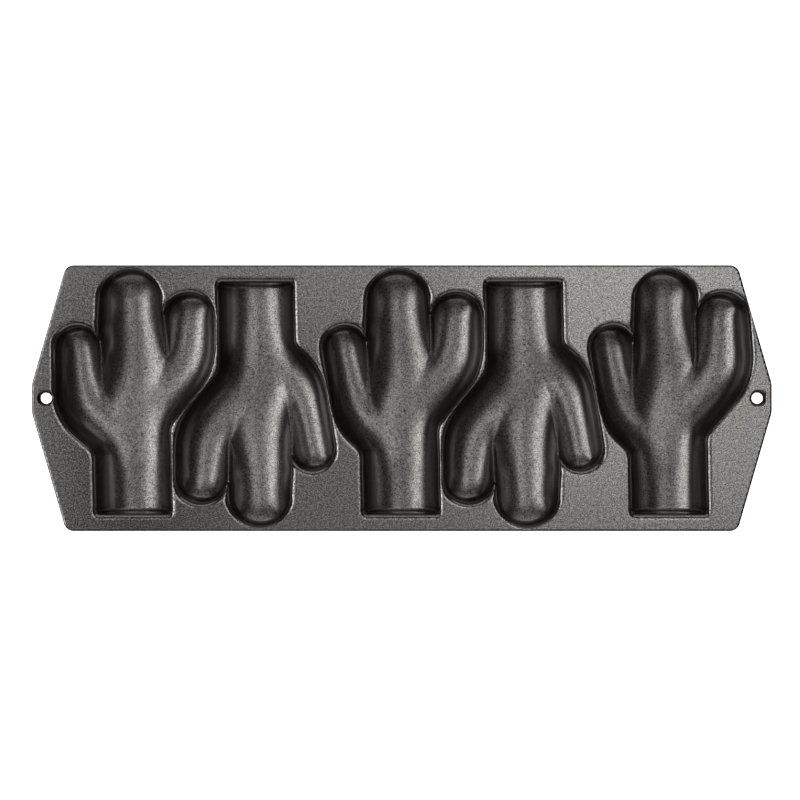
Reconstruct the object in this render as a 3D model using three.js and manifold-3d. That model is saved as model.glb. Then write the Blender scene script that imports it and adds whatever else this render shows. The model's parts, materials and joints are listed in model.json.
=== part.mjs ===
// Cast iron cactus pan: a flat deck over five round-bottomed cactus cups, nested head to foot.
// Millimetres, +Z up. X runs along the pan, Y across it, and the feet stand on Z = 0 at the origin.
import * as THREE from 'three';
import { mergeVertices } from 'three/addons/utils/BufferGeometryUtils.js';
import Module from 'manifold-3d';

const wasm = await Module();
wasm.setup();

// Sizes of one cactus hollow, in its own plan: the trunk stands on x = 0 and grows towards +y,
// and y = 0 lies on the deck's long centreline. Heights are along y, reaches are along x.
const TRUNK_FOOT = 57.8;
const TRUNK_TIP = 62.7;
const TRUNK_FOOT_RADIUS = 18.7;
const TRUNK_TIP_RADIUS = 15.4;
const TRUNK_SHOULDER = -12;
const TRUNK_LEAN = 2;
const RIGHT_ARM_RADIUS = 12.8;
const RIGHT_ARM_TIP = 52.6;
const RIGHT_ARM_REACH = 27.4;
const RIGHT_ELBOW_HEIGHT = 17.5;
const RIGHT_ROOT_HEIGHT = -14.2;
const LEFT_ARM_RADIUS = 11.2;
const LEFT_ARM_TIP = 36;
const LEFT_ARM_REACH = 28.4;
const LEFT_ELBOW_INSET = 5.4;
const LEFT_ELBOW_HEIGHT = -8.3;
const LEFT_ROOT_HEIGHT = -28.4;
const ELBOW_BEND = 9;

// The outward arm of each end cup has no neighbour to clear, so its elbow is fuller.
const END_RIGHT_ARM_REACH = 26.5;
const END_RIGHT_ELBOW_BULGE = 2.1;
const END_RIGHT_ELBOW_HEIGHT = 13.6;
const END_RIGHT_ROOT_HEIGHT = -19;
const END_LEFT_ELBOW_INSET = 0.2;
const END_LEFT_ELBOW_HEIGHT = -4.6;

// Depth of a trunk as a multiple of its half width, depth of both arms, and the iron around them.
const DEPTH_RATIO = 1.06;
const ARM_DEPTH = 16.2;
const WALL = 4;
const FOOT_CUT = 1;

// Iron left between two trunks and arms side by side, and between two facing left arms.
const TRUNK_LAND = 2.2;
const ARM_LAND = 1.8;

// Deck, its tapered ends and its hanging holes.
const DECK_THICKNESS = 4;
const EDGE_LAND = 3.9;
const END_LAND = 1.6;
const END_FLAT = 14.5;
const END_LIP = 4.2;
const HOLE_DIAMETER = 6.4;
const HOLE_LAND = 0.9;
const SHOULDER_RADIUS = 5;
const END_RADIUS = 9;

// Gap kept between pieces that touch, and the set-back of the cups inside the deck's edge.
const SEAM = 0.3;
const CUP_SETBACK = 0.4;

// Facets: sides of a full round, rings of a dome, steps along an arm and along a parting line.
const SIDES = 20;
const DOME_RINGS = 5;
const ARM_STEPS = 9;
const PARTING_STEPS = 20;
const CORNER_STEPS = 6;

const IRON = { color: 0x3a3836, roughness: 0.5, metalness: 0.3 };

const point = (x, y) => new THREE.Vector3(x, y, 0);

// The trunk keeps its foot's width up to the shoulder, then narrows to the middle of its dome.
// Its axis leans a little to the left on the way, while the foot stays square to the deck.
const domeHeight = TRUNK_TIP - TRUNK_TIP_RADIUS;
const leanPerHeight = -TRUNK_LEAN / (domeHeight + TRUNK_FOOT);
const leanAt = (y) => leanPerHeight * (y + TRUNK_FOOT);
function trunkRadiusAt(y) {
  const share = THREE.MathUtils.clamp((y - TRUNK_SHOULDER) / (domeHeight - TRUNK_SHOULDER), 0, 1);
  return THREE.MathUtils.lerp(TRUNK_FOOT_RADIUS, TRUNK_TIP_RADIUS, share);
}

// An arm runs from the middle of its domed tip down to an elbow and in to the trunk's axis.
const arm = (radius, tip, elbow, rootHeight) => ({ radius, tip, elbow, root: point(0, rootHeight) });
const rightTip = RIGHT_ARM_TIP - RIGHT_ARM_RADIUS;
const leftTip = LEFT_ARM_TIP - LEFT_ARM_RADIUS;
const leftElbow = LEFT_ARM_REACH - LEFT_ELBOW_INSET;
const endLeftElbow = LEFT_ARM_REACH - END_LEFT_ELBOW_INSET;
const endRightElbow = END_RIGHT_ARM_REACH + END_RIGHT_ELBOW_BULGE;
const rightArm = arm(
  RIGHT_ARM_RADIUS,
  point(RIGHT_ARM_REACH, rightTip),
  point(RIGHT_ARM_REACH, RIGHT_ELBOW_HEIGHT),
  RIGHT_ROOT_HEIGHT,
);
const leftArm = arm(
  LEFT_ARM_RADIUS,
  point(-LEFT_ARM_REACH, leftTip),
  point(-leftElbow, LEFT_ELBOW_HEIGHT),
  LEFT_ROOT_HEIGHT,
);
const endRightArm = arm(
  RIGHT_ARM_RADIUS,
  point(END_RIGHT_ARM_REACH, rightTip),
  point(endRightElbow, END_RIGHT_ELBOW_HEIGHT),
  END_RIGHT_ROOT_HEIGHT,
);
const endLeftArm = arm(
  LEFT_ARM_RADIUS,
  point(-LEFT_ARM_REACH, leftTip),
  point(-endLeftElbow, END_LEFT_ELBOW_HEIGHT),
  LEFT_ROOT_HEIGHT,
);

// Neighbours are half a turn apart, so a cup has the next one's right arm beside its own right arm
// and the last one's left arm beside its own left arm. The two steps along the deck follow from that.
const leftSlope = LEFT_ELBOW_INSET / (leftTip - LEFT_ELBOW_HEIGHT);
const leftReachAtCentre = leftElbow - leftSlope * LEFT_ELBOW_HEIGHT;
const leftHalfLand = (LEFT_ARM_RADIUS + ARM_LAND / 2) * Math.hypot(1, leftSlope);
const rightStep = RIGHT_ARM_REACH + RIGHT_ARM_RADIUS + TRUNK_LAND + TRUNK_FOOT_RADIUS;
const leftStep = 2 * (leftReachAtCentre + leftHalfLand);
const pitch = rightStep + leftStep;

const cups = [
  { name: 'cactus_cup_1', x: -pitch, turned: false, arms: [endLeftArm, rightArm], left: false, right: true },
  { name: 'cactus_cup_2', x: -leftStep, turned: true, arms: [leftArm, rightArm], left: true, right: true },
  { name: 'cactus_cup_3', x: 0, turned: false, arms: [leftArm, rightArm], left: true, right: true },
  { name: 'cactus_cup_4', x: rightStep, turned: true, arms: [leftArm, rightArm], left: true, right: true },
  { name: 'cactus_cup_5', x: pitch, turned: false, arms: [leftArm, endRightArm], left: true, right: false },
];

// The deck's ends clear the hanging holes, and its tapers clear the tips of the outermost arms.
const holeX = pitch + endLeftElbow + LEFT_ARM_RADIUS + HOLE_LAND + HOLE_DIAMETER / 2;
const halfLength = holeX + HOLE_DIAMETER / 2 + END_LIP;
const halfWidth = TRUNK_TIP + EDGE_LAND;
const deckHeight = (TRUNK_FOOT_RADIUS + WALL) * DEPTH_RATIO - FOOT_CUT;

// Where a line from the end of the deck, tangent to the outermost arm's tip, meets the long edge.
function shoulderX() {
  const toTip = new THREE.Vector2(
    pitch + END_RIGHT_ARM_REACH - halfLength,
    rightTip - END_FLAT / 2,
  );
  const spread = Math.asin((RIGHT_ARM_RADIUS + END_LAND) / toTip.length());
  return halfLength + (halfWidth - END_FLAT / 2) / Math.tan(toTip.angle() - spread);
}

// A closed outline through the corners, each rounded by a curve of about the given radius.
function roundedShape(corners) {
  const shape = new THREE.Shape();
  corners.forEach(({ at, radius }, i) => {
    const before = corners.at(i - 1).at.clone().sub(at).normalize();
    const after = corners[(i + 1) % corners.length].at.clone().sub(at).normalize();
    const run = radius / Math.tan(Math.acos(before.dot(after)) / 2);
    const start = at.clone().addScaledVector(before, run);
    const end = at.clone().addScaledVector(after, run);
    if (i === 0) shape.moveTo(start.x, start.y);
    else shape.lineTo(start.x, start.y);
    shape.quadraticCurveTo(at.x, at.y, end.x, end.y);
  });
  shape.closePath();
  return shape;
}

// The deck's outline, symmetrical both ways, with a hanging hole at each end, and the iron in it
// drawn back from every edge by the set-back.
function deckOutline(setback) {
  const end = { at: new THREE.Vector2(halfLength - setback, END_FLAT / 2), radius: END_RADIUS };
  const shoulder = {
    at: new THREE.Vector2(shoulderX() - setback, halfWidth - setback),
    radius: SHOULDER_RADIUS,
  };
  const mirror = ({ at, radius }, sx, sy) => ({ at: new THREE.Vector2(at.x * sx, at.y * sy), radius });
  const outline = roundedShape([
    mirror(end, 1, -1), end, shoulder, mirror(shoulder, -1, 1),
    mirror(end, -1, 1), mirror(end, -1, -1), mirror(shoulder, -1, -1), mirror(shoulder, 1, -1),
  ]);
  for (const x of [-holeX, holeX]) {
    outline.holes.push(new THREE.Path().absarc(x, 0, HOLE_DIAMETER / 2 + setback, 0, 2 * Math.PI, true));
  }
  return outline;
}

function prism(shape, bottom, top) {
  const geometry = new THREE.ExtrudeGeometry(shape, {
    depth: top - bottom,
    bevelEnabled: false,
    curveSegments: CORNER_STEPS,
  });
  return geometry.translate(0, 0, bottom);
}

// The arm's axis: straight legs with a curved elbow, shorter than half of either leg.
function armPath({ tip, elbow, root }) {
  const bend = Math.min(ELBOW_BEND, tip.distanceTo(elbow) / 2, root.distanceTo(elbow) / 2);
  const before = elbow.clone().add(tip.clone().sub(elbow).setLength(bend));
  const after = elbow.clone().add(root.clone().sub(elbow).setLength(bend));
  const path = new THREE.CurvePath();
  path.add(new THREE.LineCurve3(tip, before));
  path.add(new THREE.QuadraticBezierCurve3(before, elbow, after));
  path.add(new THREE.LineCurve3(after, root));
  return path;
}

// A round bar with a flat foot, a shoulder and a domed tip, sheared sideways by its lean.
function trunkGeometry(grow) {
  const footRadius = TRUNK_FOOT_RADIUS + grow;
  const tipRadius = TRUNK_TIP_RADIUS + grow;
  const profile = [
    new THREE.Vector2(0, -TRUNK_FOOT - grow),
    new THREE.Vector2(footRadius, -TRUNK_FOOT - grow),
    new THREE.Vector2(footRadius, TRUNK_SHOULDER),
  ];
  for (let i = 0; i < DOME_RINGS; i += 1) {
    const turn = (i / DOME_RINGS) * (Math.PI / 2);
    profile.push(new THREE.Vector2(tipRadius * Math.cos(turn), domeHeight + tipRadius * Math.sin(turn)));
  }
  profile.push(new THREE.Vector2(0, domeHeight + tipRadius));
  const lean = new THREE.Matrix4().makeShear(0, 0, leanPerHeight, 0, 0, 0);
  const bar = new THREE.LatheGeometry(profile, SIDES).scale(1, 1, DEPTH_RATIO);
  return bar.applyMatrix4(lean).translate(leanAt(0), 0, 0);
}

// A round bar along the arm's axis and the ball that closes its tip, both drawn out to the arms' depth.
function armGeometries(spec, grow) {
  const radius = spec.radius + grow;
  const section = new THREE.Shape().absarc(0, 0, radius, 0, 2 * Math.PI);
  const bar = new THREE.ExtrudeGeometry(section, {
    steps: ARM_STEPS,
    extrudePath: armPath(spec),
    curveSegments: SIDES / 2,
  });
  const leg = spec.tip.clone().sub(spec.elbow);
  const ball = new THREE.SphereGeometry(radius, SIDES, 2 * DOME_RINGS);
  ball.rotateZ(-Math.atan2(leg.x, leg.y)).translate(spec.tip.x, spec.tip.y, 0);
  return [bar, ball].map((limb) => limb.scale(1, 1, ARM_DEPTH / spec.radius));
}

// A solid that can be joined and cut, from a closed geometry.
function solid(geometry) {
  const bare = geometry.clone();
  bare.deleteAttribute('normal');
  bare.deleteAttribute('uv');
  const merged = mergeVertices(bare);
  const triangles = [];
  for (let i = 0; i < merged.index.count; i += 3) {
    const [a, b, c] = merged.index.array.slice(i, i + 3);
    if (a !== b && b !== c && c !== a) triangles.push(a, b, c);
  }
  return new wasm.Manifold(new wasm.Mesh({
    numProp: 3,
    vertProperties: new Float32Array(merged.attributes.position.array),
    triVerts: new Uint32Array(triangles),
  }));
}

// The cactus of one cup, made fatter all round by the given amount, with z = 0 on the deck's top.
function cactus({ arms }, grow, place = new THREE.Matrix4()) {
  const limbs = [trunkGeometry(grow), ...arms.flatMap((spec) => armGeometries(spec, grow))];
  return limbs
    .map((limb) => solid(limb.applyMatrix4(place)))
    .reduce((whole, limb) => whole.add(limb));
}

// Distance in plan from a point to the nearest edge of a nested cactus, negative inside it.
const nestedArms = [leftArm, rightArm].map((spec) => ({
  radius: spec.radius,
  points: armPath(spec).getSpacedPoints(ARM_STEPS),
}));
function planGap(x, y) {
  const here = point(x, y);
  const near = new THREE.Vector3();
  const axisY = THREE.MathUtils.clamp(y, -TRUNK_FOOT, domeHeight);
  let gap = here.distanceTo(point(leanAt(axisY), axisY)) - trunkRadiusAt(axisY);
  for (const { radius, points } of nestedArms) {
    for (let i = 1; i < points.length; i += 1) {
      new THREE.Line3(points[i - 1], points[i]).closestPointToPoint(here, true, near);
      gap = Math.min(gap, near.distanceTo(here) - radius);
    }
  }
  return gap;
}

// The line, equally far from a cup and from its neighbour half a turn round at (step, 0).
function partingLine(step) {
  const line = [];
  for (let i = 0; i <= PARTING_STEPS; i += 1) {
    const y = halfWidth * ((2 * i) / PARTING_STEPS - 1);
    let own = 0;
    let other = step;
    for (let halving = 0; halving < 40; halving += 1) {
      const middle = (own + other) / 2;
      if (planGap(middle, y) < planGap(step - middle, -y)) own = middle;
      else other = middle;
    }
    line.push(new THREE.Vector2(own, y));
  }
  return line;
}

// The part of the plan that belongs to one cup, between the parting lines to its neighbours.
const rightParting = partingLine(rightStep);
const leftParting = partingLine(-leftStep);
function cupCell({ left, right }) {
  const straight = (x) => [new THREE.Vector2(x, -halfWidth), new THREE.Vector2(x, halfWidth)];
  const shifted = (line, by) => line.map(({ x, y }) => new THREE.Vector2(x + by, y));
  const rightSide = right ? shifted(rightParting, -SEAM / 2) : straight(halfLength);
  const leftSide = left ? shifted(leftParting, SEAM / 2) : straight(-halfLength);
  return new THREE.Shape([...rightSide, ...leftSide.reverse()]);
}

function ironMesh(name, body) {
  const { vertProperties, triVerts } = body.getMesh();
  const geometry = new THREE.BufferGeometry();
  geometry.setAttribute('position', new THREE.BufferAttribute(vertProperties, 3));
  geometry.setIndex(new THREE.BufferAttribute(triVerts, 1));
  const mesh = new THREE.Mesh(geometry, new THREE.MeshStandardMaterial(IRON));
  mesh.name = name;
  return mesh;
}

// A plate with a cactus-shaped opening over each cup.
function deck() {
  const plate = solid(prism(deckOutline(0), -DECK_THICKNESS, 0));
  const opened = cups.reduce((body, cup) => {
    const place = new THREE.Matrix4().makeRotationZ(cup.turned ? Math.PI : 0).setPosition(cup.x, 0, 0);
    return body.subtract(cactus(cup, 0, place));
  }, plate);
  return ironMesh('deck', opened);
}

// A shell under the deck that follows its hollow, cut flat where it stands.
function cup(spec) {
  const top = -DECK_THICKNESS - SEAM;
  const cell = prism(cupCell(spec), -deckHeight, top);
  const underDeck = prism(deckOutline(CUP_SETBACK), -deckHeight, top);
  underDeck.translate(spec.turned ? spec.x : -spec.x, 0, 0);
  const shell = cactus(spec, WALL).subtract(cactus(spec, 0));
  const mesh = ironMesh(spec.name, shell.intersect(solid(cell)).intersect(solid(underDeck)));
  mesh.position.x = spec.x;
  mesh.rotation.z = spec.turned ? Math.PI : 0;
  return mesh;
}

const pan = new THREE.Group();
pan.position.z = deckHeight;
pan.add(deck(), ...cups.map(cup));

export default pan;
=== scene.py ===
import json

import bpy
import numpy as np
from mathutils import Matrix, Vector


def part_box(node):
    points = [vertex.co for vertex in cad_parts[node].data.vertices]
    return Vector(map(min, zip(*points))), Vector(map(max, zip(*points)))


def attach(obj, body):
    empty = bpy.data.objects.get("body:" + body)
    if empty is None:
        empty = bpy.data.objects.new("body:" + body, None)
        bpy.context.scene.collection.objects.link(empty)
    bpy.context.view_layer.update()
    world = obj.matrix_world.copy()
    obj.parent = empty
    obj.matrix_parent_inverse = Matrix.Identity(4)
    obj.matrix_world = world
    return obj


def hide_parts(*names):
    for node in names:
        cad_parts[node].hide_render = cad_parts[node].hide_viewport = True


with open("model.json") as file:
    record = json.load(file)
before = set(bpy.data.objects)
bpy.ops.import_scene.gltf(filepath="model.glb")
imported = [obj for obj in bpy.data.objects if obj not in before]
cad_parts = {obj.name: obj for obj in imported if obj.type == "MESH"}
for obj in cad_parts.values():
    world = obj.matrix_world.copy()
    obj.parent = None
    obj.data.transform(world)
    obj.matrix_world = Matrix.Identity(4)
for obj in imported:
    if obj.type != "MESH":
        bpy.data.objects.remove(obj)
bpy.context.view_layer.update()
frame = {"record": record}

bl_info = {
    "name": "Cactus Baking Pan",
    "version": (1, 0, 0),
    "blender": (4, 5, 0),
    "location": "View3D > Sidebar > Cactus Pan",
    "description": "Cast iron pan with five nested cactus cups, its seasoned finish and its studio",
    "category": "Add Mesh",
}

CUPS = ("cactus_cup_1", "cactus_cup_2", "cactus_cup_3", "cactus_cup_4", "cactus_cup_5")

# A distance that is beyond the whole pan, in metres.
FAR = 1.0

# Distance to a sloping floor as a share of the depth to it.
FLOOR_SLANT = 0.7

# How much more firmly a held place is held than its neighbours pull at it.
FIRM = 8.0

# Share of the first error that is left when a floor counts as solved.
SOLVED = 1e-12

# Room in the plan that a floor is worked out on: to each side, below the foot and past the tip, in metres.
PLAN_SIDE, PLAN_FOOT, PLAN_TIP = 0.05, 0.02, 0.006

# Thicknesses from a crest's middle to the end of its flank, and crest lengths over which it fades.
CREST_FLANK, CREST_RUN = 1.5, 2.0

# Points on the curve of an elbow.
ELBOW_POINTS = 9

# Newton steps that bring a skin onto its fields, and their softening where two fields run side by side.
NEWTON_STEPS, SOFTENING = 2, 1e-3

# Smallest length that is divided by.
TINY = 1e-12

# Soft boxes: their place and size in metres, and their radiance.
LIGHTS = {
    "overhead": ((0.5, -0.6, 4.0), (2.4, 3.6), 0.45),
    "overhead_right": ((0.95, 0.75, 3.8), (1.5, 2.3), 0.85),
    "overhead_back": ((0.0, 1.1, 3.75), (2.2, 1.7), 0.5),
    "fill_left": ((-1.6, 0.0, 3.6), (1.3, 2.4), 0.85),
    "key_left": ((-2.95, 0.0, 2.75), (2.1, 2.4), 3.0),
    "back": ((0.0, 3.6, 2.1), (4.8, 3.0), 0.2),
    "low_back": ((0.0, 3.0, 1.1), (5.0, 2.1), 0.45),
    "low_front": ((0.0, -3.0, 1.1), (5.0, 2.1), 0.45),
}


def length(name, description, default):
    """A length in metres."""
    return bpy.props.FloatProperty(
        name=name, description=description, default=default, precision=5, unit="LENGTH", subtype="DISTANCE"
    )


def factor(name, description, default):
    """A plain share or multiple."""
    return bpy.props.FloatProperty(
        name=name, description=description, default=default, min=0.0, subtype="FACTOR"
    )


def plan(name, description, default):
    """A point or a size in plan, in metres."""
    return bpy.props.FloatVectorProperty(
        name=name, description=description, default=default, size=2, unit="LENGTH", subtype="XYZ"
    )


def colour(name, description, default):
    """A linear colour."""
    return bpy.props.FloatVectorProperty(
        name=name, description=description, default=default, size=3, min=0.0, max=1.0, subtype="COLOR"
    )


class CactusSizes(bpy.types.PropertyGroup):
    """One cactus in its own plan: its trunk stands on x = 0 and grows towards +y."""

    trunk_foot: length("Trunk foot", "From the deck's centreline to the flat end of the trunk", 0.0578)
    trunk_tip: length("Trunk tip", "From the deck's centreline to the tip of the trunk", 0.0645)
    foot_radius: length("Foot radius", "Half the trunk's width below its shoulder", 0.0187)
    tip_radius: length("Tip radius", "Radius of the trunk's dome", 0.0154)
    shoulder: length("Shoulder", "Where the trunk starts to narrow", -0.012)
    shoulder_ease: length("Shoulder ease", "Length over which the narrowing starts", 0.008)
    lean: length("Lean", "How far the trunk's tip leans to the left", 0.002)
    foot_draft: factor("Foot draft", "Slope of the flat end wall", 0.025)
    foot_corner: length("Foot corner", "Radius where the end wall meets the round floor", 0.0014)
    right_radius: length("Right arm radius", "Half the width of the tall arm", 0.0128)
    right_tip: plan("Right tip", "Middle of the tall arm's dome", (0.0274, 0.0398))
    right_elbow: plan("Right elbow", "Elbow of the tall arm", (0.0274, 0.0175))
    right_root: length("Right root", "Where the tall arm's axis meets the trunk's", -0.0142)
    left_radius: length("Left arm radius", "Half the width of the low arm", 0.0112)
    left_tip: plan("Left tip", "Middle of the low arm's dome", (-0.0284, 0.0248))
    left_elbow: plan("Left elbow", "Elbow of the low arm", (-0.023, -0.0083))
    left_root: length("Left root", "Where the low arm's axis meets the trunk's", -0.0284)
    end_right_tip: plan("End right tip", "Middle of the outermost tall arm's dome", (0.0265, 0.0398))
    end_right_elbow: plan("End right elbow", "Elbow of the outermost tall arm", (0.0286, 0.0136))
    end_right_root: length("End right root", "Where the outermost tall arm meets the trunk", -0.019)
    end_left_elbow: plan("End left elbow", "Elbow of the outermost low arm", (-0.0282, -0.0046))
    elbow_bend: length("Elbow bend", "Run of the curve on each side of an elbow", 0.009)


class CastingSizes(bpy.types.PropertyGroup):
    """The iron around the cactuses."""

    trunk_depth: length("Trunk depth", "Depth of a trunk at its foot", 0.0198)
    arm_depth: length("Arm depth", "Depth of an arm, for the skin underneath", 0.0165)
    floor_reach: length("Floor reach", "How far the walls draw the floor up", 0.016)
    floor_spare: length("Floor spare", "How far outside the walls the floor would reach the deck", 0.0002)
    dome_spare: length("Dome spare", "How much farther outside the tips it would do so", 0.0045)
    floor_step: length("Floor step", "Step of the plan that the floor is worked out on", 0.0005)
    wall_root: length("Wall root", "Radius where a wall turns into the floor", 0.0015)
    wall_draft: factor("Wall draft", "Slope of the walls", 0.05)
    crest_width: length("Crest width", "Thickness at an arm's tip of the crest beside the trunk", 0.0008)
    crest_spread: length("Crest spread", "How much thicker the crest is at its end", 0.004)
    crest_fade: factor("Crest fade", "Natural logarithm of how soon a crest holds less firmly", 6.0)
    crest_end: factor("Crest end", "Natural logarithm of how much less firmly a crest holds at its end", 2.5)
    right_crest: length("Right crest", "From the tall arm's elbow to the end of the crest above it", -0.0095)
    left_crest: length("Left crest", "From the low arm's elbow to the end of the crest above it", -0.004)
    arm_level: factor("Arm level", "How much more an arm's floor is drawn level than the trunk's", 4.0)
    arm_pull: factor("Arm pull", "How much harder an arm's floor is pulled down than the trunk's", 2.15)
    root_pull: factor("Root pull", "The same where an arm lies over the trunk", 1.85)
    root_overlap: length("Root overlap", "How far inside both outlines that holds in full", 0.005)
    trunk_dome: factor("Trunk dome", "How much harder the floor is pulled down in the trunk's dome", 1.25)
    arm_dome: factor("Arm dome", "The same in an arm's dome", 1.12)
    crest_side: length("Crest side", "Distance from an arm's lower leg over which a crest sets in", 0.009)
    crotch: length("Crotch", "Rounding in plan between an arm and the trunk", 0.003)
    wall: length("Wall", "Iron around a hollow", 0.004)
    least: length("Least iron", "Least iron under a floor", 0.003)
    rim: length("Rim", "Radius of the rounded rim around a hollow", 0.0031)
    tip_rim: length("Tip rim", "The same at the tip of a trunk, close to the deck's edge", 0.0013)
    valley: length("Valley", "Radius between two cups underneath", 0.003)
    fillet: length("Fillet", "Radius between the deck's underside and a cup", 0.003)
    edge: length("Edge", "Radius of the deck's edges", 0.0009)
    edge_draft: factor("Edge draft", "Slope of the deck's edges", 0.03)
    foot_edge: length("Foot edge", "Radius around the flat that a cup stands on", 0.0006)
    end_flat: length("End flat", "Width of the deck's ends", 0.0145)
    shoulder_x: length("Shoulder", "Where a tapered end meets the long edge", 0.16806)
    end_corner: length("End corner", "Rounding of an end's corners", 0.0004)
    shoulder_corner: length("Shoulder corner", "Rounding of the long edges' corners", 0.0036)
    hole_radius: length("Hole radius", "Radius of a hanging hole at the deck's underside", 0.0027)
    hole_draft: factor("Hole draft", "Slope of a hanging hole's wall", 0.26)
    hole_edge: length("Hole edge", "Radius of a hanging hole's edges", 0.0005)
    hole_x: length("Hole place", "From the deck's middle to a hanging hole", 0.1784)
    reach: length("Reach", "How far along the deck a cup is worked out", 0.07)
    deck_step: length("Deck step", "Mesh step of the deck", 0.00086)
    cup_step: length("Cup step", "Mesh step of the cups", 0.0007)


class FinishSettings(bpy.types.PropertyGroup):
    """Seasoned cast iron."""

    iron: colour("Iron", "Colour of the seasoned skin", (0.2, 0.195, 0.188))
    brown: colour("Brown", "Colour of thin patches of seasoning", (0.205, 0.187, 0.17))
    roughness: factor("Roughness", "Roughness of the deck", 0.16)
    wall_roughness: factor("Wall roughness", "How much rougher the walls are", 0.06)
    floor_roughness: factor("Floor roughness", "How much rougher still the floors are", 0.1)
    sunk_below: length("Sunk below", "How far under the deck's top that holds in full", 0.004)
    grain: length("Grain", "Size of the sand grain", 0.00055)
    grain_depth: length("Grain depth", "Depth of the sand grain", 0.000012)
    pit: length("Pit", "Size of the pits", 0.00165)
    pit_depth: factor("Pit depth", "Depth of the pits as a multiple of the grain's", 0.7)
    patch: length("Patch", "Size of the patches of thin seasoning", 0.02)
    flat_from: factor("Flat from", "Upright part of a normal where a skin starts to count as flat", 0.68)
    flat_over: factor("Flat over", "How much more makes it count in full", 0.2)
    grain_speckle: factor("Grain speckle", "How much the grain lightens and darkens a flat skin", 4.6)
    pit_speckle: factor("Pit speckle", "How much the pits do so", 1.2)
    grain_gloss: factor("Grain gloss", "How much the grain varies the roughness of a flat skin", 0.2)
    patch_gloss: factor("Patch gloss", "How much the patches do so", 0.08)
    brown_from: factor("Brown from", "Noise from which a patch turns brown", 0.45)
    brown_gain: factor("Brown gain", "How fast it does so", 3.0)
    brown_most: factor("Brown most", "Share of the brown in a full patch", 0.6)


class StudioSettings(bpy.types.PropertyGroup):
    """Floor, lights and camera."""

    floor_size: length("Floor size", "Side of the floor", 6.0)
    camera_height: length("Camera height", "Camera above the deck", 0.8)
    camera_aim: plan("Camera aim", "Point that the camera looks down on", (-0.0009, -0.0009))
    field: length("Field", "Width in view at the deck", 0.4)
    sensor: bpy.props.FloatProperty(
        name="Sensor",
        description="Width of the camera's sensor, in millimetres",
        default=36.0,
        subtype="DISTANCE_CAMERA",
    )
    floor_colour: colour("Floor colour", "Colour of the floor", (0.9, 0.9, 0.9))
    floor_roughness: factor("Floor roughness", "Roughness of the floor", 0.9)
    floor_glow: factor("Floor glow", "Light that the floor gives off", 1.2)
    surround: factor("Surround", "Light from all around", 0.05)


def round_join(a, b, radius):
    """Union of two fields, with the inner corner filled to the radius."""
    fill = np.hypot(np.maximum(radius - a, 0.0), np.maximum(radius - b, 0.0))
    return np.maximum(radius, np.minimum(a, b)) - fill


def round_cut(a, b, radius):
    """Overlap of two fields, with the outer corner rounded to the radius."""
    trim = np.hypot(np.maximum(radius + a, 0.0), np.maximum(radius + b, 0.0))
    return np.minimum(-radius, np.maximum(a, b)) + trim


def smooth_step(share):
    """From 0 to 1 as the share goes from 0 to 1, level at both ends."""
    share = np.clip(share, 0.0, 1.0)
    return share * share * (3.0 - 2.0 * share)


class Limb:
    """An arm: a round bar along a path with straight legs and a curved elbow."""

    def __init__(self, radius, tip, elbow, root, bend, crest):
        tip, elbow, root = np.array(tip), np.array(elbow), np.array(root)
        before = elbow + (tip - elbow) * bend / np.linalg.norm(tip - elbow)
        after = elbow + (root - elbow) * bend / np.linalg.norm(root - elbow)
        t = np.linspace(0.0, 1.0, ELBOW_POINTS)[:, None]
        curve = (1 - t) ** 2 * before + 2 * t * (1 - t) * elbow + t**2 * after
        self.radius = radius
        self.path = np.vstack([tip, curve, root])
        self.crest = (tip[1] + radius / 2, elbow[1] + crest)

    def plan_distance(self, u, v):
        """Distance in plan to the nearest leg of the path."""
        best = FAR
        for start, end in zip(self.path[:-1], self.path[1:]):
            run = end - start
            share = np.clip(((u - start[0]) * run[0] + (v - start[1]) * run[1]) / (run @ run), 0.0, 1.0)
            best = np.minimum(best, np.hypot(u - start[0] - share * run[0], v - start[1] - share * run[1]))
        return best


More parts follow.
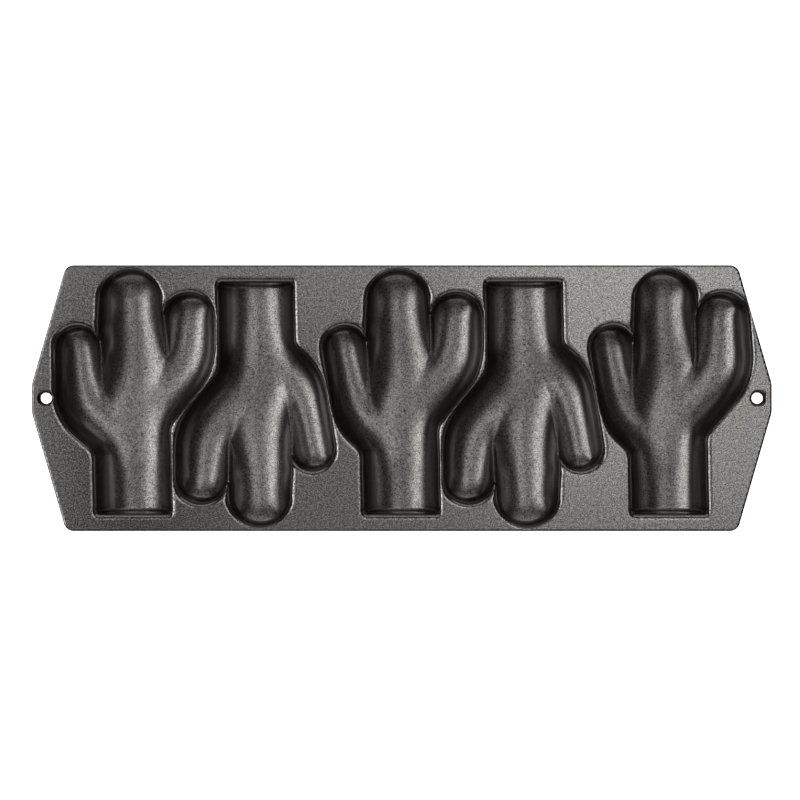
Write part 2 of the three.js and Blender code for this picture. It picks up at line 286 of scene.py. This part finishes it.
class Cactus:
    """The plan of one cactus, with its trunk on u = 0 growing towards +v."""

    def __init__(self, sizes, left, right):
        self.sizes = sizes
        self.arms = (left, right)

    def limbs(self, u, v, spare=0.0):
        """Distance to the axis and half width of the trunk, which has no foot here, and of both arms.

        The tips are drawn out by the spare."""
        s = self.sizes
        dome = s.trunk_tip - s.tip_radius
        along = np.minimum(v, dome)
        lean = s.lean * (along + s.trunk_foot) / (dome + s.trunk_foot)
        past = along - s.shoulder
        ease = 0.5 * (past + np.hypot(past, s.shoulder_ease))
        radius = s.foot_radius - (s.foot_radius - s.tip_radius) * ease / (dome - s.shoulder)
        limbs = [(np.hypot(u + lean, v - along), radius + spare * smooth_step((v - along) / radius))]
        for arm in self.arms:
            drawn = spare * smooth_step((v - arm.path[0][1]) / arm.radius)
            limbs.append((arm.plan_distance(u, v), arm.radius + drawn))
        return limbs

    def pulls(self, u, v, casting):
        """How strongly the floor is drawn level and how strongly it is pulled down.

        Both are more in an arm than in the trunk. The second is more in a dome, and a little less where an
        arm lies over the trunk."""
        (trunk, wide), *arms = self.limbs(u, v)
        best = trunk - wide
        level = np.ones_like(best)
        down = np.where(v > self.sizes.trunk_tip - self.sizes.tip_radius, casting.trunk_dome, 1.0)
        for (away, radius), arm in zip(arms, self.arms):
            own = away - radius
            over = smooth_step(-np.maximum(own, trunk - wide) / casting.root_overlap)
            inside = np.maximum(own < best, over)
            level = level + (casting.arm_level - level) * inside
            dome = np.where(v > arm.path[0][1], casting.arm_dome, 1.0)
            arm_down = casting.arm_pull * dome * (1.0 - over) + casting.root_pull * over
            down = down + (arm_down - down) * inside
            best = np.minimum(best, own)
        return level, down

    def gap(self, u, v, crotch, spare=0.0):
        """Distance in plan to the outline, negative inside, with the corners between limbs rounded."""
        made = FAR
        for away, wide in self.limbs(u, v, spare):
            near = np.maximum(crotch - np.abs(made - (away - wide)), 0.0)
            made = np.minimum(made, away - wide) - near**2 / (4.0 * crotch)
        return made

    def crests(self, u, v, casting):
        """How firmly a crest between the trunk and an arm holds the floor up, from 1 at the arm's tip to 0.

        A crest runs where both outlines are equally near, on the side of the arm's lower leg that faces its
        tip. The farther it is from that tip, the wider it is and the less it holds, as an exponential of the
        distance's fourth root and of its square."""
        (trunk, wide), *arms = self.limbs(u, v)
        held = 0.0
        for (away, radius), arm in zip(arms, self.arms):
            own, other = away - radius, trunk - wide
            run = arm.path[-2] - arm.path[-1]
            side = (v - arm.path[-1][1]) * np.abs(run[0]) - u * np.sign(run[0]) * run[1]
            upper = smooth_step(side / np.hypot(*run) / casting.crest_side)
            start, end = arm.crest
            far = np.clip((start - v) / (start - end), 0.0, CREST_RUN)
            along = np.exp(-casting.crest_fade * far**0.25 - casting.crest_end * far**2)
            thick = casting.crest_width + casting.crest_spread * far
            across = np.clip(CREST_FLANK - np.abs(own - other) / thick, 0.0, 1.0)
            held = np.maximum(held, upper * along * across)
        return held


class Floor:
    """The round floor of a cactus over its plan, from its walls.

    The square of the depth is in proportion to a share. Inside the outline the share times the pull to level,
    less its Laplacian times the square of the reach, is the pull down. Outside the outline and on the crests
    between limbs the share is held at 0.
    It is solved on a grid by conjugate gradients and read off between the grid's points by cubic splines."""

    def __init__(self, cactus, casting):
        s = cactus.sizes
        self.step = casting.floor_step
        self.low = np.array((-PLAN_SIDE, -s.trunk_foot - PLAN_FOOT))
        high = np.array((PLAN_SIDE, s.trunk_tip + PLAN_TIP))
        count = np.ceil((high - self.low) / self.step).astype(int)
        u = self.low[0] + self.step * np.arange(count[0])[:, None]
        v = self.low[1] + self.step * np.arange(count[1])[None, :]
        gap = cactus.gap(u, v, casting.crotch, casting.dome_spare) - casting.floor_spare
        cover = np.clip(0.5 - gap / self.step, 0.0, 1.0)
        stiff = (casting.floor_reach / self.step) ** 2
        level, down = cactus.pulls(u, v, casting)
        hold = level + (1.0 - cover + cactus.crests(u, v, casting)) * stiff * FIRM
        share = np.zeros_like(cover)
        rest = cover * down
        way = rest.copy()
        left = start = (rest * rest).sum()
        while left > start * SOLVED:
            wide = np.pad(way, 1, mode="edge")
            around = wide[:-2, 1:-1] + wide[2:, 1:-1] + wide[1:-1, :-2] + wide[1:-1, 2:]
            push = hold * way - stiff * (around - 4.0 * way)
            pace = left / (way * push).sum()
            share += pace * way
            rest -= pace * push
            before, left = left, (rest * rest).sum()
            way = rest + left / before * way
        self.share = share
        self.full = 1.0 - 1.0 / np.cosh((s.foot_radius + casting.floor_spare) / casting.floor_reach)

    def spline(self, at, axis):
        """The grid's four points around each place along an axis, and their weights."""
        place = (at - self.low[axis]) / self.step
        first = np.clip(np.floor(place).astype(int), 1, self.share.shape[axis] - 3)
        f = np.clip(place - first, 0.0, 1.0)
        weights = ((1 - f) ** 3, 3 * f**3 - 6 * f**2 + 4, -3 * f**3 + 3 * f**2 + 3 * f + 1, f**3)
        return [(first + i - 1, weight / 6.0) for i, weight in enumerate(weights)]

    def depth(self, u, v):
        """Depth of the floor as a multiple of the depth at the trunk's foot."""
        total = 0.0
        for row, across in self.spline(u, 0):
            for column, along in self.spline(v, 1):
                total = total + across * along * self.share[row, column]
        return np.sqrt(np.maximum(total, 0.0) / self.full)


class Cup:
    """One cactus in its place on the deck, upright or turned half round."""

    def __init__(self, cactus, floor, x, turn):
        self.cactus = cactus
        self.floor = floor
        self.x = x
        self.turn = turn

    def plan(self, x, y):
        """A point in the cactus's own plan."""
        return self.turn * (x - self.x), self.turn * y

    def fields(self, x, y, depth, casting):
        """The hollow and the skin underneath.

        The hollow lies inside the walls, above the floor and short of the flat foot. The skin leaves the
        least iron under the floor."""
        s = self.cactus.sizes
        u, v = self.plan(x, y)
        gap = self.cactus.gap(u, v, casting.crotch)
        sunk = casting.trunk_depth * self.floor.depth(u, v)
        foot = s.foot_draft * depth - s.trunk_foot - v
        inside = round_cut(gap + casting.wall_draft * depth, (depth - sunk) * FLOOR_SLANT, casting.wall_root)
        under = round_cut(gap - casting.wall, (depth - sunk - casting.least) * FLOOR_SLANT, casting.valley)
        outer = round_join(self.limb_skin(u, v, depth, casting), under, casting.valley)
        return round_cut(inside, foot, s.foot_corner), round_cut(outer, foot - casting.wall, s.foot_corner)

    def rim(self, x, y, casting):
        """Radius of the rim: smaller at the trunk's tip."""
        s = self.cactus.sizes
        _, v = self.plan(x, y)
        share = smooth_step((v - s.trunk_tip) / s.tip_radius + 1.0)
        return casting.rim + (casting.tip_rim - casting.rim) * share

    def limb_skin(self, u, v, depth, casting):
        """Every limb a half ellipse underneath, fatter than its hollow by the wall.

        A limb's share is 1 less the square of the distance to its axis over its half width, times the square
        of its depth over the trunk's. The root of the sum of the squares of the shares is the square of the
        skin's depth over the trunk's."""
        s = self.cactus.sizes
        deepest = casting.trunk_depth * (1.0 + casting.wall / s.foot_radius)
        total, best = 0.0, -FAR / s.trunk_foot
        (trunk, wide), *arms = self.cactus.limbs(u, v)
        limbs = [(trunk, wide, casting.trunk_depth * wide / s.foot_radius)]
        limbs += [(away, wide, casting.arm_depth) for away, wide in arms]
        for away, wide, deep in limbs:
            share = 1.0 - (away / (wide + casting.wall)) ** 2
            share = share * (deep * (1.0 + casting.wall / wide) / deepest) ** 2
            total = total + np.maximum(share, 0.0) ** 2
            best = np.maximum(best, share)
        share = np.sqrt(total) + np.minimum(best, 0.0)
        return s.foot_radius * (np.sqrt(np.maximum(1.0 - share, 0.0) + (depth / deepest) ** 2) - 1.0)


class Casting:
    """The pan's iron as one field over x, y and z: negative inside the iron and zero on its skin."""

    def __init__(self, cactus, sizes, record):
        self.sizes = sizes
        under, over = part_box("deck")
        self.underside, self.top = under[2], over[2]
        self.half_length, self.half_width = over[0], over[1]
        self.cut = self.underside - sizes.fillet
        bend = cactus.elbow_bend
        low_root, tall_root = (0.0, cactus.left_root), (0.0, cactus.right_root)
        end_root = (0.0, cactus.end_right_root)
        low = (bend, sizes.left_crest)
        tall = (bend, sizes.right_crest)
        left = Limb(cactus.left_radius, cactus.left_tip, cactus.left_elbow, low_root, *low)
        right = Limb(cactus.right_radius, cactus.right_tip, cactus.right_elbow, tall_root, *tall)
        end_left = Limb(cactus.left_radius, cactus.left_tip, cactus.end_left_elbow, low_root, *low)
        end_right = Limb(cactus.right_radius, cactus.end_right_tip, cactus.end_right_elbow, end_root, *tall)
        pairs = ((end_left, right), (left, right), (left, end_right))
        plans = [Cactus(cactus, *pair) for pair in pairs]
        floors = [Floor(kind, sizes) for kind in plans]
        feet = {mount["name"]: mount["pos_m"] for mount in record["mounts"]}
        self.cups = []
        for number in range(1, len(CUPS) + 1):
            x, y, _ = feet[f"foot_{number}"]
            kind = 0 if number == 1 else 2 if number == len(CUPS) else 1
            self.cups.append(Cup(plans[kind], floors[kind], x, 1.0 if y < 0 else -1.0))

    def cup_fields(self, x, y, z):
        """Each cup's hollow and outer skin. Points far from a cup along the deck get a large value."""
        shape = np.broadcast_shapes(x.shape, y.shape, z.shape)
        made = []
        for cup in self.cups:
            near = np.abs(x - cup.x).reshape(len(x)) < self.sizes.reach
            gaps = [np.full(shape, FAR), np.full(shape, FAR)]
            if near.any():
                own = [part[near] if len(part) == len(x) else part for part in (x, y, self.top - z)]
                gaps[0][near], gaps[1][near] = cup.fields(*own, self.sizes)
            made.append(gaps)
        return made

    def outline(self, x, y):
        """The deck's outline: a long edge, a tapered edge and an end, mirrored both ways."""
        s = self.sizes
        along, across = np.abs(x), np.abs(y)
        rise, run = self.half_width - s.end_flat / 2, self.half_length - s.shoulder_x
        taper = ((along - self.half_length) * rise + (across - s.end_flat / 2) * run) / np.hypot(rise, run)
        end = round_cut(along - self.half_length, taper, s.end_corner)
        return round_cut(end, across - self.half_width, s.shoulder_corner)

    def iron(self, x, y, z):
        """The whole pan.

        Everything above the deck's underside is joined with the cups' outer skins, trimmed to the deck's
        outline and top, cut flat underfoot, hollowed by the cactuses with rounded rims and pierced by the
        holes."""
        s = self.sizes
        hollow, outer = -FAR, FAR
        for cup, (inner_gap, outer_gap) in zip(self.cups, self.cup_fields(x, y, z)):
            hollow = np.maximum(hollow, round_cut(z - self.top, -inner_gap, cup.rim(x, y, s)))
            outer = round_join(outer, outer_gap, s.valley)
        body = round_join(outer, self.underside - z, s.fillet)
        edge = self.outline(x, y) + s.edge_draft * (self.top - z)
        body = round_cut(body, edge, s.edge)
        body = round_cut(body, z - self.top, s.edge)
        body = round_cut(body, -z, s.foot_edge)
        body = np.maximum(body, hollow)
        hole = s.hole_radius + s.hole_draft * (z - self.underside) - np.hypot(np.abs(x) - s.hole_x, y)
        return round_cut(body, hole, s.hole_edge)

    def above_cut(self, x, y, z):
        """Negative above the level where the deck meets the cups."""
        return self.cut - z

    def below_cut(self, x, y, z):
        """Negative below the level where the deck meets the cups."""
        return z - self.cut

    def cell(self, number):
        """A field that is negative where that cup is nearer than any other."""

        def nearer(x, y, z):
            gaps = [cup.cactus.gap(*cup.plan(x, y), self.sizes.crotch) for cup in self.cups]
            own = gaps.pop(number)
            return (own - np.minimum.reduce(gaps)) / 2

        return nearer


def slopes(field, points, reach=1e-5):
    """Value and gradient of a field at points, by differences."""
    x, y, z = points.T
    value = field(x, y, z)
    beside = (field(x + reach, y, z), field(x, y + reach, z), field(x, y, z + reach))
    return value, (np.stack(beside, axis=1) - value[:, None]) / reach


def skin(fields, low, high, step, middle):
    """Closed quad skin of the solid in which every field is negative.

    The fields are sampled on a lattice. Each lattice cell that the skin crosses gets one vertex, at the mean
    of the crossings on its edges, and each crossed lattice edge joins the four cells around it by a quad.
    Newton steps then bring each vertex onto the zero of every field whose crossings its cell has, which
    leaves sharp edges only where two fields meet. Each corner's normal is the gradient of the field that its
    quad lies on."""
    low, high, middle = np.array(low), np.array(high), np.array(middle)
    first = np.floor((low - middle) / step) - 2
    last = np.ceil((high - middle) / step) + 2
    axes = [middle[i] + (np.arange(first[i], last[i]) + 0.5) * step for i in range(3)]
    shape = tuple(len(axis) for axis in axes)
    grid = np.meshgrid(*axes, indexing="ij", sparse=True)
    values = np.stack([np.broadcast_to(field(*grid), shape) for field in fields])
    solid = values.max(axis=0)
    sums = np.zeros((np.prod(shape), 3))
    counts = np.zeros(np.prod(shape))
    touched = np.zeros((len(fields), np.prod(shape)), dtype=bool)
    quads, labels = [], []
    for axis in range(3):
        one, two = (axis + 1) % 3, (axis + 2) % 3
        near = np.moveaxis(solid, axis, 0)[:-1]
        far = np.moveaxis(solid, axis, 0)[1:]
        crossed = np.moveaxis((near < 0) != (far < 0), 0, axis)
        here = np.argwhere(crossed)
        there = here.copy()
        there[:, axis] += 1
        a, b = solid[tuple(here.T)], solid[tuple(there.T)]
        share = a / (a - b)
        at = np.stack([axes[i][here[:, i]] for i in range(3)], axis=1)
        at[:, axis] += share * step
        mixed = values[(slice(None), *here.T)] * (1 - share) + values[(slice(None), *there.T)] * share
        label = mixed.argmax(axis=0)
        corners = []
        for back_one, back_two in ((1, 1), (0, 1), (0, 0), (1, 0)):
            cell = here.copy()
            cell[:, one] -= back_one
            cell[:, two] -= back_two
            number = np.ravel_multi_index(tuple(cell.T), shape)
            for i in range(3):
                sums[:, i] += np.bincount(number, at[:, i], len(sums))
            counts += np.bincount(number, minlength=len(counts))
            touched[label, number] = True
            corners.append(number)
        quad = np.stack(corners, axis=1)
        quads.append(np.where((a < 0)[:, None], quad, quad[:, ::-1]))
        labels.append(label)
    quads, labels = np.vstack(quads), np.concatenate(labels)
    used, quads = np.unique(quads, return_inverse=True)
    quads = quads.reshape(-1, 4)
    points = sums[used] / counts[used][:, None]
    held = touched[:, used]
    normals = np.zeros((len(fields), len(points), 3))
    for turn in range(NEWTON_STEPS + 1):
        wanted = np.zeros((len(points), len(fields)))
        for i, field in enumerate(fields):
            value, normals[i, held[i]] = slopes(field, points[held[i]])
            wanted[held[i], i] = value
        if turn == NEWTON_STEPS:
            break
        square = np.einsum("ina,jna->nij", normals, normals)
        square += np.eye(len(fields)) * np.where(held.T, SOFTENING, 1.0)[:, None, :]
        weight = np.linalg.solve(square, wanted[:, :, None])[:, :, 0]
        move = -np.einsum("ni,ina->na", weight, normals)
        size = np.linalg.norm(move, axis=1, keepdims=True)
        points = points + move * np.minimum(1.0, step / np.maximum(size, TINY))
    corner_normals = normals[labels[:, None], quads]
    corner_normals /= np.maximum(np.linalg.norm(corner_normals, axis=2, keepdims=True), TINY)
    return points, quads, corner_normals


def add_piece(name, node, made, material):
    """A piece of the pan from a skin, in place of a node of the frame."""
    points, quads, corner_normals = made
    mesh = bpy.data.meshes.new(name)
    mesh.vertices.add(len(points))
    mesh.vertices.foreach_set("co", points.astype(np.float32).ravel())
    mesh.loops.add(quads.size)
    mesh.loops.foreach_set("vertex_index", quads.astype(np.int32).ravel())
    mesh.polygons.add(len(quads))
    mesh.polygons.foreach_set("loop_start", np.arange(0, quads.size, 4, dtype=np.int32))
    mesh.polygons.foreach_set("use_smooth", np.ones(len(quads), dtype=bool))
    mesh.update(calc_edges=True)
    if mesh.validate():
        raise RuntimeError(f"{name} has faces that don't hold together")
    mesh.normals_split_custom_set(corner_normals.reshape(-1, 3))
    mesh.materials.append(material)
    piece = bpy.data.objects.new(name, mesh)
    bpy.context.collection.objects.link(piece)
    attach(piece, "root")
    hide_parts(node)


class Shade:
    """A value in a shader: Python's operators on it make the nodes that work it out."""

    def __init__(self, tree, output):
        self.tree = tree
        self.output = output

    def make(self, kind, inputs, outlet=0, **settings):
        """A new node with its settings, its inputs linked or set, as the value at one of its outlets."""
        node = self.tree.nodes.new(kind)
        for key, value in settings.items():
            setattr(node, key, value)
        for key, value in inputs.items():
            if isinstance(value, Shade):
                self.tree.links.new(value.output, node.inputs[key])
            else:
                node.inputs[key].default_value = value
        return Shade(self.tree, node.outputs[outlet])

    def math(self, operation, *values):
        """The result of an operation on values."""
        return self.make("ShaderNodeMath", dict(enumerate(values)), operation=operation)

    def __add__(self, other):
        return self.math("ADD", self, other)

    __radd__ = __add__

    def __mul__(self, other):
        return self.math("MULTIPLY", self, other)

    __rmul__ = __mul__

    def __sub__(self, other):
        return self.math("SUBTRACT", self, other)

    def __rsub__(self, other):
        return self.math("SUBTRACT", other, self)

    def __truediv__(self, other):
        return self.math("DIVIDE", self, other)

    def __rtruediv__(self, other):
        return self.math("DIVIDE", other, self)

    def __pow__(self, other):
        return self.math("POWER", self, other)

    def __abs__(self):
        return self.math("ABSOLUTE", self)

    def clamp(self):
        """This value, kept between 0 and 1."""
        return self.make("ShaderNodeClamp", {0: self})

    def noise(self, size, detail=2.0, roughness=0.5):
        """Noise over this position, with features of the size, in metres."""
        inputs = {"Vector": self, "Scale": 1.0 / size, "Detail": detail, "Roughness": roughness}
        return self.make("ShaderNodeTexNoise", inputs, outlet="Fac")

    def up(self):
        """The part of this vector along z."""
        return self.make("ShaderNodeSeparateXYZ", {0: self}, outlet=2)

    def scaled(self, share):
        """This colour, brightened by the share."""
        return self.make("ShaderNodeVectorMath", {0: self, 3: share}, operation="SCALE")

    def mix(self, low, high):
        """A colour from low to high as this value goes from 0 to 1."""
        inputs = {0: self, 6: low, 7: high}
        return self.make("ShaderNodeMix", inputs, outlet=2, data_type="RGBA")


def seasoned_iron(finish, top):
    """Sand-cast iron under baked oil: a dark, semi-matt skin with a fine grain.

    It is browner in patches, and duller on the walls and floors below the top."""
    material = bpy.data.materials.new("seasoned_skin")
    material.use_nodes = True
    tree = material.node_tree
    shader = tree.nodes["Principled BSDF"]
    coordinates = tree.nodes.new("ShaderNodeTexCoord")
    at = Shade(tree, coordinates.outputs["Object"])
    grain = at.noise(finish.grain, 2.0, 0.6)
    pits = at.noise(finish.pit, 2.0, 0.5)
    patches = at.noise(finish.patch, 3.0, 0.55)
    facing = Shade(tree, coordinates.outputs["Normal"])
    flat = ((abs(facing.up()) - finish.flat_from) / finish.flat_over).clamp()
    speckle = ((grain - 0.5) * finish.grain_speckle + (pits - 0.5) * finish.pit_speckle) * flat
    brownness = ((patches - finish.brown_from) * finish.brown_gain).clamp() * finish.brown_most
    tint = brownness.mix((*finish.iron, 1.0), (*finish.brown, 1.0)).scaled(1.0 + speckle)
    sunk = ((top - at.up()) / finish.sunk_below).clamp()
    uneven = ((grain - 0.5) * finish.grain_gloss + (patches - 0.5) * finish.patch_gloss) * flat
    roughness = finish.roughness + sunk * (finish.wall_roughness + finish.floor_roughness * flat) + uneven
    height = (grain + finish.pit_depth * pits) * flat
    bump = at.make("ShaderNodeBump", {"Height": height, "Strength": 1.0, "Distance": finish.grain_depth})
    tree.links.new(tint.output, shader.inputs["Base Color"])
    tree.links.new(roughness.output, shader.inputs["Roughness"])
    tree.links.new(bump.output, shader.inputs["Normal"])
    shader.inputs["Metallic"].default_value = 1.0
    return material


def cast_pan():
    """The pan's field and its material, from the scene's settings."""
    scene = bpy.context.scene
    material = bpy.data.materials.get("seasoned_skin")
    if material is None:
        material = seasoned_iron(scene.cactus_pan_finish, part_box("deck")[1][2])
    return Casting(scene.cactus_pan_cactus, scene.cactus_pan_casting, frame["record"]), material


class CACTUSPAN_OT_deck(bpy.types.Operator):
    """Make the deck with its rounded rims, hanging holes and the fillets under it"""

    bl_idname = "cactus_pan.deck"
    bl_label = "Make Deck"

    def execute(self, context):
        pan, material = cast_pan()
        low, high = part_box("deck")
        low[2] = pan.cut
        made = skin((pan.iron, pan.above_cut), low, high, pan.sizes.deck_step, (0.0, 0.0, pan.cut))
        add_piece("deck_casting", "deck", made, material)
        return {"FINISHED"}


class CACTUSPAN_OT_cups(bpy.types.Operator):
    """Make the five cups under the deck"""

    bl_idname = "cactus_pan.cups"
    bl_label = "Make Cups"

    def execute(self, context):
        pan, material = cast_pan()
        spare = Vector((pan.sizes.fillet, pan.sizes.fillet, 0.0))
        for number, name in enumerate(CUPS):
            low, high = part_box(name)
            high[2] = pan.cut
            fields = (pan.iron, pan.below_cut, pan.cell(number))
            made = skin(fields, low - spare, high + spare, pan.sizes.cup_step, (0.0, 0.0, pan.cut))
            add_piece(f"{name}_casting", name, made, material)
        return {"FINISHED"}


def area_light(name, at, size, radiance):
    """A soft box, turned about x and y to face the pan. Its power follows from its radiance and its size."""
    light = bpy.data.lights.new(name, "AREA")
    light.shape = "RECTANGLE"
    light.size, light.size_y = size
    light.energy = radiance * size[0] * size[1] * np.pi
    box = bpy.data.objects.new(name, light)
    box.location = at
    box.rotation_euler = (-np.arctan2(at[1], at[2]), np.arctan2(at[0], at[2]), 0.0)
    box.visible_camera = False
    bpy.context.collection.objects.link(box)


class CACTUSPAN_OT_stage(bpy.types.Operator):
    """Make the floor, the studio lights and the camera"""

    bl_idname = "cactus_pan.stage"
    bl_label = "Make Stage"

    def execute(self, context):
        studio = context.scene.cactus_pan_studio
        half = studio.floor_size / 2
        corners = [(-half, -half, 0.0), (half, -half, 0.0), (half, half, 0.0), (-half, half, 0.0)]
        mesh = bpy.data.meshes.new("floor")
        mesh.from_pydata(corners, [], [(0, 1, 2, 3)])
        paint = bpy.data.materials.new("floor_white")
        paint.use_nodes = True
        shader = paint.node_tree.nodes["Principled BSDF"]
        shader.inputs["Base Color"].default_value = (*studio.floor_colour, 1.0)
        shader.inputs["Roughness"].default_value = studio.floor_roughness
        shader.inputs["Emission Color"].default_value = (1.0, 1.0, 1.0, 1.0)
        shader.inputs["Emission Strength"].default_value = studio.floor_glow
        mesh.materials.append(paint)
        floor = bpy.data.objects.new("floor", mesh)
        context.collection.objects.link(floor)
        floor.visible_glossy = False
        world = bpy.data.worlds.new("studio")
        world.use_nodes = True
        background = world.node_tree.nodes["Background"]
        background.inputs["Color"].default_value = (1.0, 1.0, 1.0, 1.0)
        background.inputs["Strength"].default_value = studio.surround
        context.scene.world = world
        context.scene.view_settings.view_transform = "Standard"
        for name, (at, size, radiance) in LIGHTS.items():
            area_light(name, at, size, radiance)
        lens = bpy.data.cameras.new("camera")
        lens.sensor_width = studio.sensor
        lens.lens = lens.sensor_width * studio.camera_height / studio.field
        camera = bpy.data.objects.new("camera", lens)
        camera.location = (*studio.camera_aim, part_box("deck")[1][2] + studio.camera_height)
        context.collection.objects.link(camera)
        context.scene.camera = camera
        return {"FINISHED"}


class CACTUSPAN_PT_sidebar(bpy.types.Panel):
    """Sizes, finish and studio of the pan"""

    bl_idname = "CACTUSPAN_PT_sidebar"
    bl_label = "Cactus Pan"
    bl_space_type = "VIEW_3D"
    bl_region_type = "UI"
    bl_category = "Cactus Pan"

    def draw(self, context):
        scene = context.scene
        for title, group in (
            ("Cactus", scene.cactus_pan_cactus),
            ("Casting", scene.cactus_pan_casting),
            ("Finish", scene.cactus_pan_finish),
            ("Studio", scene.cactus_pan_studio),
        ):
            box = self.layout.box()
            box.label(text=title)
            for key in group.__annotations__:
                box.prop(group, key)
        self.layout.operator("cactus_pan.deck")
        self.layout.operator("cactus_pan.cups")
        self.layout.operator("cactus_pan.stage")


GROUPS = {
    "cactus_pan_cactus": CactusSizes,
    "cactus_pan_casting": CastingSizes,
    "cactus_pan_finish": FinishSettings,
    "cactus_pan_studio": StudioSettings,
}
CLASSES = (*GROUPS.values(), CACTUSPAN_OT_deck, CACTUSPAN_OT_cups, CACTUSPAN_OT_stage, CACTUSPAN_PT_sidebar)


def register():
    for kind in CLASSES:
        bpy.utils.register_class(kind)
    for key, kind in GROUPS.items():
        setattr(bpy.types.Scene, key, bpy.props.PointerProperty(type=kind))


def unregister():
    for key in GROUPS:
        delattr(bpy.types.Scene, key)
    for kind in reversed(CLASSES):
        bpy.utils.unregister_class(kind)


def main():
    register()
    bpy.ops.cactus_pan.deck()
    bpy.ops.cactus_pan.cups()
    bpy.ops.cactus_pan.stage()


if __name__ == "__main__":
    main()
